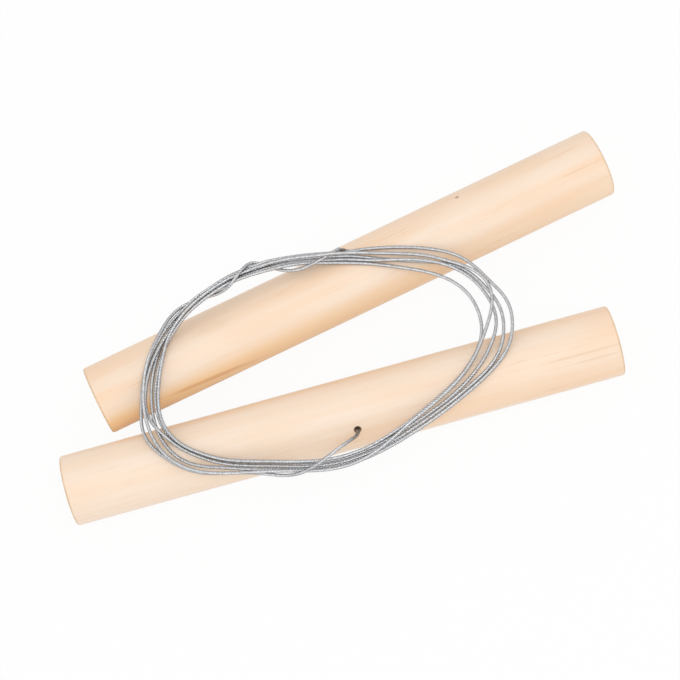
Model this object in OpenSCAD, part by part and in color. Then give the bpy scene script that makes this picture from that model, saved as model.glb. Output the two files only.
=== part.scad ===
/* [Handles] */
// Diameter of each turned wooden handle
handle_d = 12.7; // [10:0.1:16]
// Length of each handle
handle_len = 100; // [80:1:130]
// Length of the broken edge at each end of a handle
edge_len = 0.5; // [0.3:0.1:1]
// Depth of the broken edge at each end of a handle
edge_depth = 0.35; // [0.2:0.05:0.8]

/* [Layout on the table] */
// How far the upper handle lies behind the lower one, middle to middle
handle_gap = 23.8; // [22:0.1:28]
// How far the upper handle is shifted to the right
handle_shift = 7.8; // [0:0.1:12]
// Angle between the two handles
splay = 10.6; // [4:0.1:11]

/* [Cross bores] */
// Diameter of the hole that the wire runs through
bore_d = 1.3; // [1.2:0.1:2]
// Lean of the lower handle's hole from upright, towards the front
lower_lean = 44; // [30:1:60]
// Lean of the upper handle's hole from upright, towards the back
upper_lean = 34; // [25:1:50]
// Distance of the lower handle's hole from its middle
lower_bore_x = 1.9; // [-4:0.1:4]
// Distance of the upper handle's hole from its middle
upper_bore_x = 1.2; // [-4:0.1:4]
// Diameter of the sunk recess for the crimp sleeve
recess_d = 2.8; // [2.6:0.1:4]
// Depth of the sunk recess for the crimp sleeve
recess_depth = 5.4; // [5:0.1:7]

/* [Wire] */
// Diameter of the stranded steel wire
wire_d = 0.6; // [0.5:0.05:0.8]
// Outer diameter of the crimp sleeve
sleeve_d = 2.4; // [2:0.1:2.5]
// Length of the crimp sleeve
sleeve_len = 4.4; // [3:0.1:4.6]
// Length of wire that stands out of the sleeve's end
wire_stub = 0.4; // [0.2:0.1:0.6]

/* [Coil] */
// Number of whole loops
loops = 5; // [4:1:5]
// Mean distance of the loops from the middle of the coil
oval_mean = 23.6; // [23.2:0.1:24]
// How much longer than wide the loops are
oval_stretch = 6.4; // [6.2:0.1:6.8]
// Distance between loops that lie side by side
loop_pitch = 1.44; // [1.44:0.01:1.5]
// Height between the two layers of loops
layer_step = 1.4; // [1.4:0.01:1.6]
// Space between the lowest loop and the handles
rest_gap = 0.1; // [0.05:0.01:0.3]
// How much higher the springy coil stands at the back than at the front
coil_lift = 1.3; // [1:0.1:1.6]

/* [Hidden] */

handle_r = handle_d / 2;
half_len = handle_len / 2;
wire_r = wire_d / 2;
fine = 64;

// The origin is under the middle of the box round both handles
reach_x = half_len * cos(splay) + (handle_r - edge_depth) * sin(splay);
reach_y = (half_len - edge_len) * sin(splay) + handle_r * cos(splay);
middle = [(handle_shift + reach_x - half_len) / 2, (handle_gap + reach_y - handle_r) / 2];
lower_at = [-middle.x, -middle.y, handle_r];
upper_at = [handle_shift - middle.x, handle_gap - middle.y, handle_r];

// Colours of wood, steel and the aluminium sleeves
wood = [0.96, 0.86, 0.74];
steel = [0.62, 0.63, 0.65];
alloy = [0.78, 0.78, 0.80];

// Directions of the two holes, out of the mouths that the wire leaves by
lower_out = [0, -sin(lower_lean), cos(lower_lean)];
upper_out = [-sin(splay) * sin(upper_lean), cos(splay) * sin(upper_lean), cos(upper_lean)];
lower_mid = lower_at + [lower_bore_x, 0, 0];
upper_mid = upper_at + upper_bore_x * [cos(splay), sin(splay), 0];
mouth_inset = 0.2;
mouth_r = handle_r - mouth_inset;
lower_mouth = lower_mid + mouth_r * lower_out;
upper_mouth = upper_mid + mouth_r * upper_out;

// The coil lies on both handles, its loops in two layers
coil_at = [-4.6, -7.6];
low_z = handle_d + rest_gap + wire_r;
start_turn = 235;
end_turn = 145;
turned = 360 * loops + start_turn - end_turn;
half_turn = 180;
climb_from = (turned - half_turn) / 2;
climb_to = climb_from + half_turn;
lane_out = loop_pitch * climb_from / 720;
lift_angle = 115;
rings_per_loop = 24;
steps = round(rings_per_loop * turned / 360);

// Middle line of the bundle at angle a from the coil's middle
function oval(a) = oval_mean - 0.9 * cos(a) + 0.4 * sin(a) + oval_stretch * cos(2 * a) + 0.5 * cos(3 * a)
    + 0.3 * sin(3 * a) + 1.5 * cos(4 * a) + 0.5 * sin(4 * a) + 0.4 * cos(5 * a) - 0.2 * sin(5 * a)
    + 0.2 * cos(6 * a) + 0.3 * sin(6 * a);
function oval_at(a) = coil_at + oval(a) * [cos(a), sin(a)];
function unit(v) = v / norm(v);
function outward(a) = let (t = unit(oval_at(a + 1) - oval_at(a - 1))) [t.y, -t.x];
function lift(a) = coil_lift * (1 + cos(a - lift_angle)) / 2;
function beside(a, lane, z) = let (p = oval_at(a) + lane * outward(a)) [p.x, p.y, z + lift(a)];

// The angle once the wire has turned by w: its rings stand closer in the tight ends of the oval
function angle_after(w) = start_turn - w - 12 * sin(2 * (start_turn - w));

// Lane and height of the wire once it has turned by w: in along the lower layer, out along the upper one
function ease(t) = (1 - cos(180 * t)) / 2;
function lane(w) = w < climb_from ? lane_out - loop_pitch * w / 360
    : w > climb_to ? lane_out - loop_pitch * (turned - w) / 360
    : lane_out - loop_pitch * climb_from / 360;
function layer(w) = w < climb_from ? 0 : w > climb_to ? 1 : ease((w - climb_from) / half_turn);
function coil_point(w) = beside(angle_after(w), lane(w), low_z + layer_step * layer(w));

// The coil's ends run straight for one diameter
coil_in = unit(coil_point(2) - coil_point(0));
coil_on = unit(coil_point(turned) - coil_point(turned - 2));
coil_route = concat(
    [coil_point(0) - wire_d * coil_in],
    [for (i = [0:steps]) coil_point(turned * i / steps)],
    [coil_point(turned) + wire_d * coil_on]
);
coil_start = coil_route[0];
coil_end = coil_route[len(coil_route) - 1];

// Least gap between the coil's turns, measured on points along it
gap_parts = 3;
coil_fine = [
    for (i = [0:len(coil_route) - 2], k = [0:gap_parts - 1])
        coil_route[i] + (coil_route[i + 1] - coil_route[i]) * k / gap_parts
];
apart = rings_per_loop * gap_parts / 2;
least_gap = min([
    for (i = [0:len(coil_fine) - 1 - apart])
        min([for (j = [i + apart:len(coil_fine) - 1]) norm(coil_fine[i] - coil_fine[j])])
]) - wire_d;
function path_length(p) = len(p) < 2 ? 0 : sum_steps(p, 1);
function sum_steps(p, i) = i >= len(p) ? 0 : norm(p[i] - p[i - 1]) + sum_steps(p, i + 1);

// Free stretch from the lower handle, over the bundle and down to its outer side
straight_out = 1.2;
lower_route = concat(
    [lower_mouth, lower_mouth + straight_out * lower_out],
    [
        [-2.3, -22.3, 12.9], [-2.9, -22.8, 14.1], [-4.2, -23.3, 15.2], [-6.0, -24.0, 16.1],
        [-8.0, -25.0, 16.6], [-10.0, -26.0, 16.6], [-12.0, -27.0, 16.2], [-13.9, -27.5, 15.5],
        [-15.8, -27.7, 14.6], [-17.7, -27.2, 13.8]
    ],
    [coil_start - 2 * wire_d * coil_in, coil_start]
);

// Free stretch that winds round the bundle: angle, distance outwards and height from the bundle's middle
bundle_z = low_z + layer_step / 2;
wraps = [
    [151.5, 2.5, 0.6], [148, 3.1, -0.3], [145, 2.8, -1.2], [142, 1.5, -1.9], [139, 0, -1.9],
    [136.5, -1.6, -1.9], [134, -3.0, -1.5], [131, -3.6, -0.6], [127.5, -3.5, 0.4], [124, -2.8, 1.4],
    [120.5, -1.4, 1.9], [117, 0.2, 1.9], [113.5, 1.8, 1.8], [110.5, 2.9, 1.1], [108.5, 3.1, 0.1],
    [107, 2.9, -0.9], [105.5, 2.1, -1.7], [103.5, 0.6, -1.9], [101.5, -1.0, -1.9], [99, -2.6, -1.7],
    [96, -3.4, -0.8], [91.5, -3.5, 0.2], [86.5, -3.0, 1.3], [82, -2.1, 1.9], [77, -0.9, 2.0],
    [72.5, 0.5, 2.0]
];
upper_route = concat(
    [coil_end, coil_end + 2 * wire_d * coil_on],
    [for (w = wraps) beside(w[0], w[1], bundle_z + w[2])],
    [[2.4, 11.9, 16.3], [3.6, 12.6, 15.2], [4.1, 12.5, 13.7]],
    [upper_mouth + straight_out * upper_out, upper_mouth]
);

echo(str("least gap between turns ", least_gap, " mm, wanted over 0.4"));
echo(str("wire: coil ", path_length(coil_route), " lower ", path_length(lower_route),
    " upper ", path_length(upper_route), " mm"));

// Frames along a route, each carried on from the one before without twist
function along(p, i) = i == 0 ? unit(p[1] - p[0])
    : i == len(p) - 1 ? unit(p[i] - p[i - 1])
    : unit(unit(p[i + 1] - p[i]) + unit(p[i] - p[i - 1]));
function square_to(v, t) = unit(v - (v * t) * t);
function sides_of(p) = [
    for (i = 0, v = square_to([0, 0, 1], along(p, 0)); i < len(p);
        i = i + 1, v = i < len(p) ? square_to(v, along(p, i)) : v) v
];

// A tube along a route, closed by a flat face at each end
module tube(route, sides) {
    count = len(route);
    across = sides_of(route);
    points = [
        for (i = [0:count - 1], k = [0:sides - 1])
            let (t = along(route, i), u = across[i], v = cross(t, u), a = 360 * k / sides)
                route[i] + wire_r * (cos(a) * u + sin(a) * v)
    ];
    walls = [
        for (i = [0:count - 2], k = [0:sides - 1], half = [0, 1])
            let (a = i * sides + k, b = i * sides + (k + 1) % sides)
                half == 0 ? [a, a + sides, b + sides] : [a, b + sides, b]
    ];
    first = [for (k = [1:sides - 2]) [0, k, k + 1]];
    last = (count - 1) * sides;
    final = [for (k = [1:sides - 2]) [last, last + k + 1, last + k]];
    polyhedron(points, concat(first, walls, final));
}

// Turns an upright piece so that its top points along a hole
module lower_hole_axis() {
    translate(lower_mid) rotate([lower_lean, 0, 0]) children();
}

module upper_hole_axis() {
    translate(upper_mid) rotate([0, 0, splay]) rotate([-upper_lean, 0, 0]) children();
}

// A wooden rod along X with broken edges
module rod() {
    rotate([0, 90, 0]) rotate_extrude($fn = fine) polygon([
        [0, -half_len], [handle_r - edge_depth, -half_len], [handle_r, -half_len + edge_len],
        [handle_r, half_len - edge_len], [handle_r - edge_depth, half_len], [0, half_len]
    ]);
}

// The through hole and the recess that takes the sleeve, along Z
module hole() {
    cylinder(h = 2 * handle_d, d = bore_d, center = true, $fn = fine);
    translate([0, 0, -handle_d]) cylinder(h = handle_d - handle_r + recess_depth, d = recess_d, $fn = fine);
}

module lower_handle() {
    color(wood) difference() {
        translate(lower_at) rod();
        lower_hole_axis() hole();
    }
}

module upper_handle() {
    color(wood) difference() {
        translate(upper_at) rotate([0, 0, splay]) rod();
        upper_hole_axis() hole();
    }
}

// A crimped sleeve that bears on the floor of the recess
module sleeve() {
    translate([0, 0, -handle_r + recess_depth - sleeve_len]) difference() {
        cylinder(h = sleeve_len, d = sleeve_d, $fn = fine);
        translate([0, 0, -1]) cylinder(h = sleeve_len + 2, d = wire_d, $fn = fine);
    }
}

module lower_sleeve() {
    color(alloy) lower_hole_axis() sleeve();
}

module upper_sleeve() {
    color(alloy) upper_hole_axis() sleeve();
}

// The stretch of wire inside a handle, from just inside the mouth to the stub past the sleeve
module wire_end() {
    foot = -handle_r + recess_depth - sleeve_len - wire_stub;
    translate([0, 0, foot]) cylinder(h = mouth_r - foot, d = wire_d, $fn = fine);
}

module lower_wire_end() {
    color(steel) lower_hole_axis() wire_end();
}

module upper_wire_end() {
    color(steel) upper_hole_axis() wire_end();
}

module wire_coil() {
    color(steel) tube(coil_route, 6);
}

module lower_lead() {
    color(steel) tube(lower_route, 8);
}

module upper_lead() {
    color(steel) tube(upper_route, 8);
}

lower_handle();
upper_handle();
lower_sleeve();
upper_sleeve();
lower_wire_end();
upper_wire_end();
wire_coil();
lower_lead();
upper_lead();
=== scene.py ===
"""Clay cutter: a coiled stranded wire that lies on its two wooden handles."""

import logging
import math
from dataclasses import dataclass, field
from enum import Enum

import bmesh
import bpy
import numpy as np
from mathutils import Matrix, Vector


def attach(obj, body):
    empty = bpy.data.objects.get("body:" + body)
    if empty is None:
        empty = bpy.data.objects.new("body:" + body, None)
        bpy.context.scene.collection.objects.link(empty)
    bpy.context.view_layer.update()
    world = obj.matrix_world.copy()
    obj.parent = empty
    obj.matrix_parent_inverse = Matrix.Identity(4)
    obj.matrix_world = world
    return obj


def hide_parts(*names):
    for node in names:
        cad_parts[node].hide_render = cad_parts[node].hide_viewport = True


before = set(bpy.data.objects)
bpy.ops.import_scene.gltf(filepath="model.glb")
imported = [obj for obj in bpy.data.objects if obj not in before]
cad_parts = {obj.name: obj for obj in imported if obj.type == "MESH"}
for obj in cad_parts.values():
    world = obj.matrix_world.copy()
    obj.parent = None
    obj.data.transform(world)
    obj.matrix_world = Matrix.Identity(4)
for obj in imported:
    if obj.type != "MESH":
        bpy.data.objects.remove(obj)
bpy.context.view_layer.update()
LOG = logging.getLogger("clay_cutter")
MM = 0.001
STRAIGHT = (0.0, 0.0, 0.0)
EVEN = (1.0, 1.0, 1.0)
WHITE = (1.0, 1.0, 1.0, 1.0)

# The handles and the wire in millimetres, with how far the upper handle is moved and turned
HANDLE_R = 6.35
HALF_HANDLE = 50.0
EDGE_LENGTH = 0.5
EDGE_DEPTH = 0.35
SHIFT = 7.8
GAP = 23.8
SPLAY = math.radians(10.6)
WIRE_R = 0.3

# The middle of the box round both handles is the origin
REACH_X = HALF_HANDLE * math.cos(SPLAY) + (HANDLE_R - EDGE_DEPTH) * math.sin(SPLAY)
REACH_Y = (HALF_HANDLE - EDGE_LENGTH) * math.sin(SPLAY) + HANDLE_R * math.cos(SPLAY)
MIDDLE = ((SHIFT + REACH_X - HALF_HANDLE) / 2, (GAP + REACH_Y - HANDLE_R) / 2)
LOWER_AT = np.array([-MIDDLE[0], -MIDDLE[1], HANDLE_R])
UPPER_AT = np.array([SHIFT - MIDDLE[0], GAP - MIDDLE[1], HANDLE_R])

# Angle round the coil in degrees and distance outwards in millimetres, for each loop and the last part turn
LOOPS = (
    (
        (222, 0.8), (216, 0.8), (210, 1.3), (206, 1.65), (202, 1.85), (197, 1.85), (193, 2.1), (190, 2.3),
        (187, 2.3), (183, 1.55), (179, 0.95), (174, 0.75), (165, 0.9), (156, 0.7), (150, 0.5),
        (145, 0.25), (139, -0.01), (133, 0.06), (127, 0.29), (121, 0.45), (115, 0.65), (108, 1.03),
        (103, 1.12), (98, 1.18), (93, 1.11), (86, 0.6), (83, 0.4), (80, 0.28), (77, 0.18), (74, 0.34),
        (71, 0.6), (65, 0.95), (51, 1.6), (40, 1.8), (29, 1.7), (22, 1.7), (16, 1.3), (11, 0.8), (8, 0.9),
        (4, 1.8), (0, 2.2), (354, 2.5), (350, 2.7), (345, 2.3), (338, 1.7), (330, 1.5), (320, 1.5),
        (310, 1.5), (299, 1), (285, 0.7), (270, 0.6), (260, 0.7), (250, 0.8), (240, 0.65),
    ),
    (
        (228, 0.35), (222, 0.05), (216, -0.1), (210, 0.15), (204, 0.65), (198, 0.6), (192, 0.1),
        (186, -0.3), (180, -0.65), (174, -0.65), (168, -0.4), (162, -0.1), (156, 0.1), (150, 0.08),
        (145, -0.03), (139, -0.26), (133, -0.28), (127, -0.14), (121, 0.07), (115, 0.23), (108, 0.54),
        (103, 0.63), (98, 0.62), (93, 0.5), (86, 0.42), (83, 0.25), (80, 0.12), (77, -0.05), (74, 0),
        (71, 0.1), (65, 0.1), (51, -0.3), (40, -0.6), (29, -0.8), (23, -0.4), (18, -0.2), (13, -0.4),
        (8, -0.4), (4, 0.1), (0, 0.6), (354, 1), (350, 1.4), (344, 1.5), (335, 1.1), (325, 1), (315, 1),
        (305, 0.8), (290, 0.35), (275, 0.1), (260, 0.2), (250, 0.35), (240, 0.2),
    ),
    (
        (228, -0.3), (222, -0.5), (216, -0.7), (210, -1), (204, -1.25), (198, -1.15), (192, -0.85),
        (188, -0.3), (186, 0.1), (183, 0.4), (180, 0.55), (174, 0.4), (168, 0.3), (162, 0.1),
        (156, -0.05), (150, -0.2), (145, -0.31), (139, -0.5), (133, -0.61), (127, -0.58), (121, -0.32),
        (115, -0.19), (108, 0.05), (103, 0.1), (98, 0), (93, -0.15), (86, -0.38), (83, -0.52),
        (80, -0.72), (77, -0.78), (74, -0.7), (71, -0.67), (65, -0.6), (51, -0.5), (40, -0.5), (29, -0.5),
        (23, -0.6), (18, -0.8), (13, -0.9), (8, -1.1), (4, -1), (0, -0.5), (354, -0.3), (350, -0.4),
        (344, -0.2), (335, 0.1), (325, 0.4), (315, 0.3), (305, 0.1), (290, -0.3), (275, -0.35),
        (260, -0.2), (250, -0.1), (240, -0.2),
    ),
    (
        (228, -0.7), (222, -1), (216, -1.2), (210, -1.4), (204, -1.7), (198, -1.5), (192, -1.3),
        (187, -1.2), (181, -1.35), (174, -1.4), (165, -1.1), (156, -0.6), (150, -0.62), (145, -0.55),
        (139, -0.71), (133, -0.9), (127, -0.95), (121, -0.65), (115, -0.55), (108, -0.37), (103, -0.28),
        (98, -0.33), (93, -0.42), (86, -0.56), (83, -0.72), (80, -0.9), (77, -1), (71, -1.22),
        (65, -1.15), (51, -1.1), (42, -1.7), (35, -2.2), (29, -2.6), (23, -2.9), (18, -3.2), (13, -3.4),
        (8, -3.5), (4, -3.6), (0, -3.4), (354, -2.8), (350, -2.4), (344, -2), (335, -1.4), (325, -1),
        (315, -0.7), (305, -0.6), (290, -0.75), (275, -0.8), (260, -0.65), (250, -0.5), (240, -0.6),
    ),
    (
        (228, -1.05), (222, -1.3), (216, -1.4), (210, -1.6), (204, -1.85), (198, -1.6), (192, -1.6),
        (187, -1.6), (181, -1.85), (174, -1.95), (168, -1.6), (165, -1.5), (156, -0.38), (150, -0.2),
        (145, -0.15), (139, -0.26), (133, -0.18), (127, 0.04), (121, 0.23), (115, 0.41), (108, 0.75),
        (103, 0.84), (98, 0.88), (93, 0.82), (86, 0.6), (83, 0.42), (80, 0.34), (77, 0.16), (74, 0.22),
        (71, 0.35), (65, 0.5), (51, 0.8), (40, 0.6), (29, 0.4), (23, 0.1), (18, 0.3), (13, 0.6), (9, 0.4),
        (6, -0.1), (3, -0.7), (0, -1.3), (354, -2.1), (350, -2.2), (344, -1.9), (335, -1.3), (325, -0.8),
        (315, -0.5), (305, -0.4), (296, 0), (287, 0.35), (278, 0.7), (268, 1), (258, 1.15), (248, 1.2),
        (240, 1.05),
    ),
    (
        (228, 0.7), (222, 0.6), (216, 0.7), (210, 1.05), (204, 1.4), (198, 1.45), (192, 1.25),
        (188, 0.95), (184, 0.8), (179, 0.7), (174, 0.7), (166, 1.05), (160, 1.25),
    ),
)
# The tail: angle, distance outwards and height
TAIL = (
    (153.8, 1.4, 15.4), (150.2, 1.55, 15.3), (147.5, 1.55, 15), (145.5, 1.4, 14.6), (143.5, 1.1, 14.1),
    (142, 0.7, 13.6), (140, 0.3, 13.2), (138, -0.02, 13.13), (136, -0.28, 13.13), (134.5, -0.5, 13.3),
    (133, -0.78, 13.7), (131, -1.05, 14.3), (128.5, -1.12, 14.9), (126.5, -1.02, 15.3),
    (125, -0.88, 15.5), (123, -0.5, 15.6), (121, -0.05, 15.6), (118.2, 0.72, 15.6), (116.2, 1.3, 15.4),
    (114.5, 1.72, 14.9), (112.8, 1.88, 14.3), (111.2, 1.7, 13.7), (109.7, 1.35, 13.25), (108, 0.85, 13.13),
    (106, 0.42, 13.13), (104, 0.08, 13.13), (102.5, -0.15, 13.3), (101, -0.38, 13.6), (98, -0.85, 14.4),
    (95, -1.17, 14.9), (92, -1.38, 15.1), (89, -1.4, 15.1), (86, -1.22, 15.2), (83, -1, 15.4),
    (80, -0.7, 15.5), (77.5, -0.38, 15.5), (75, -0.05, 15.5), (72.5, 0.24, 15.2), (70, 0.55, 14.7),
)
# The stretch from the lower handle over the bundle: x, y, height and how far it's held up at first
LEAD = (
    (-2.5, -22.1, 12.7, 0), (-3.15, -22.75, 13.9, 0.2), (-4.1, -23.3, 15, 0.7),
    (-6.44, -24.51, 16.1, 1.2), (-8.64, -25.51, 16.4, 1.4), (-10.62, -26.3, 16.4, 1.3),
    (-12.56, -26.7, 16, 1), (-14.57, -26.6, 15.3, 0.6), (-16.6, -26.15, 14.6, 0.3),
    (-18.4, -25.25, 14.1, 0),
)


class Body(Enum):
    """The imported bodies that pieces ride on."""

    WIRE = "wire"
    LOWER = "lower_grip"
    UPPER = "upper_grip"


def rgb(red: float, green: float, blue: float) -> tuple[float, float, float, float]:
    """Turn a colour written as on a screen into linear values.

    Args:
        red: The red part, 0 to 255.
        green: The green part, 0 to 255.
        blue: The blue part, 0 to 255.

    Returns:
        The three linear parts and 1, for a solid colour.
    """
    shares = (value / 255 for value in (red, green, blue))
    linear = [s / 12.92 if s <= 0.04045 else ((s + 0.055) / 1.055) ** 2.4 for s in shares]
    return (*linear, 1.0)


def mm(*values: float) -> tuple[float, ...]:
    """Return millimetres as metres."""
    return tuple(value * MM for value in values)


class Signal:
    """A socket of a shader tree that is used like a number."""

    def __init__(self, shader: "Shader", socket: bpy.types.NodeSocket) -> None:
        """Keep the socket and the shader that it belongs to."""
        self.shader = shader
        self.socket = socket

    def maths(self, kind: str, *values: "Signal | float", clamp: bool = False) -> "Signal":
        """Return one Math node's result."""
        inputs = dict(enumerate(values))
        return self.shader.add("Math", {"operation": kind, "use_clamp": clamp}, inputs)[0]

    def __add__(self, other: "Signal | float") -> "Signal":
        """Return the sum."""
        return self.maths("ADD", self, other)

    def __radd__(self, other: float) -> "Signal":
        """Return the sum."""
        return self.maths("ADD", other, self)

    def __sub__(self, other: "Signal | float") -> "Signal":
        """Return the difference."""
        return self.maths("SUBTRACT", self, other)

    def __mul__(self, other: "Signal | float") -> "Signal":
        """Return the product."""
        return self.maths("MULTIPLY", self, other)

    def __abs__(self) -> "Signal":
        """Return the size without its sign."""
        return self.maths("ABSOLUTE", self)

    def sine(self) -> "Signal":
        """Return the sine of the value in radians."""
        return self.maths("SINE", self)

    def clamped(self) -> "Signal":
        """Return the value held between 0 and 1."""
        return self.maths("ADD", self, 0.0, clamp=True)

    def ramp(self, low: float, high: float) -> "Signal":
        """Return 0 at low and 1 at high, smooth between them.

        Args:
            low: The value that gives 0.
            high: The value that gives 1, which may be the lower one.

        Returns:
            The smooth step.
        """
        settings = {"interpolation_type": "SMOOTHSTEP"}
        values = {"Value": self, "From Min": low, "From Max": high}
        return self.shader.add("MapRange", settings, values)["Result"]


class Outputs:
    """A node's outputs by place or name, as signals."""

    def __init__(self, shader: "Shader", node: bpy.types.Node) -> None:
        """Keep the node."""
        self.shader = shader
        self.node = node

    def __getitem__(self, key: int | str) -> Signal:
        """Return one output."""
        return Signal(self.shader, self.node.outputs[key])


class Shader:
    """The node tree of a material or of the world, written as expressions."""

    def __init__(self, owner: bpy.types.Material | bpy.types.World) -> None:
        """Start an empty tree.

        Args:
            owner: The new material or world that the tree belongs to.
        """
        self.owner = owner
        owner.use_nodes = True
        self.tree = owner.node_tree
        self.tree.nodes.clear()

    @classmethod
    def named(cls, name: str) -> "Shader":
        """Start an empty material of that name."""
        return cls(bpy.data.materials.new(name))

    def add(self, kind: str, settings: dict, values: dict) -> Outputs:
        """Add one node.

        Args:
            kind: The node's type, without ShaderNode.
            settings: Properties of the node, set first.
            values: Numbers, colours or signals by socket.

        Returns:
            The node's outputs.
        """
        node = self.tree.nodes.new("ShaderNode" + kind)
        for name, value in settings.items():
            setattr(node, name, value)
        for key, value in values.items():
            socket = node.inputs[key]
            if isinstance(value, Signal):
                self.tree.links.new(value.socket, socket)
            else:
                socket.default_value = value
        return Outputs(self, node)

    def place(self) -> Signal:
        """Return the point on the surface, in metres."""
        return self.add("TexCoord", {}, {})["Object"]

    def attribute(self, name: str) -> Signal:
        """Return a number that the mesh carries."""
        return self.add("Attribute", {"attribute_name": name}, {})["Fac"]

    def mapped(self, at: Signal, centre: Vector, turn: tuple, scale: tuple) -> Signal:
        """Return the point seen from a piece's own middle and direction.

        Args:
            at: The point.
            centre: The piece's middle.
            turn: The piece's angles about X, Y and Z, in radians.
            scale: How much the pattern is stretched along each direction.

        Returns:
            The point in the piece's own measure.
        """
        values = {"Vector": at, "Location": centre, "Rotation": turn}
        turned = self.add("Mapping", {"vector_type": "TEXTURE"}, values)["Vector"]
        return self.add("VectorMath", {"operation": "MULTIPLY"}, {0: turned, 1: scale})[0]

    def distance(self, at: Signal, centre: tuple) -> Signal:
        """Return how far the point is from a centre."""
        return self.add("VectorMath", {"operation": "DISTANCE"}, {0: at, 1: centre})["Value"]

    def parts(self, vector: Signal) -> tuple[Signal, Signal, Signal]:
        """Return a vector's three numbers."""
        node = self.add("SeparateXYZ", {}, {"Vector": vector})
        return node["X"], node["Y"], node["Z"]

    def noise(self, at: Signal, scale: float, detail: float = 3.0, rough: float = 0.5) -> Signal:
        """Return noise between 0 and 1."""
        values = {"Vector": at, "Scale": scale, "Detail": detail, "Roughness": rough}
        return self.add("TexNoise", {}, values)[0]

    def mix(self, share: Signal | float, first: object, second: object) -> Signal:
        """Return a mix of two colours."""
        settings = {"data_type": "RGBA", "clamp_factor": True}
        return self.add("Mix", settings, {0: share, 6: first, 7: second})[2]

    def bump(self, height: Signal, depth: float, strength: float) -> Signal:
        """Return a normal for a height between 0 and 1."""
        values = {"Height": height, "Distance": depth, "Strength": strength}
        return self.add("Bump", {}, values)["Normal"]

    def finish(self, **values: object) -> bpy.types.Material:
        """Join a principled surface to the output.

        Args:
            values: The surface's sockets, with _ in place of spaces.

        Returns:
            The finished material.
        """
        named = {key.replace("_", " "): value for key, value in values.items()}
        surface = self.add("BsdfPrincipled", {}, named)[0]
        self.add("OutputMaterial", {}, {"Surface": surface})
        return self.owner

    def seen(self) -> Signal:
        """Return 1 for what the camera sees, also in a mirror or through glass, and 0 for light."""
        rays = self.add("LightPath", {}, {})
        return (rays["Is Camera Ray"] + rays["Is Glossy Ray"] + rays["Is Transmission Ray"]).clamped()


@dataclass(frozen=True)
class Mark:
    """A knot or streak in the wood, or a patch of painted shade or shadow on a handle: place, size and turn
    in the handle's own measure.
    """

    at: tuple
    size: tuple
    colour: tuple
    strength: float
    turn: tuple = STRAIGHT

    def mask(self, s: Shader, local: Signal) -> Signal:
        """Return the mark's share of the colour.

        Args:
            s: The handle's shader.
            local: The point seen from the handle's middle.

        Returns:
            A mask from 0 to the mark's strength.
        """
        stretch = tuple(1.0 / part for part in self.size)
        seen = s.mapped(local, Vector(self.at), self.turn, stretch)
        ragged = s.noise(s.mapped(local, Vector(), STRAIGHT, (0.2, 1.0, 1.0)), 900.0, 2.0)
        reach = s.distance(seen, STRAIGHT) + (ragged - 0.5) * 0.7
        return reach.ramp(1.0, 0.25) * self.strength


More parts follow.
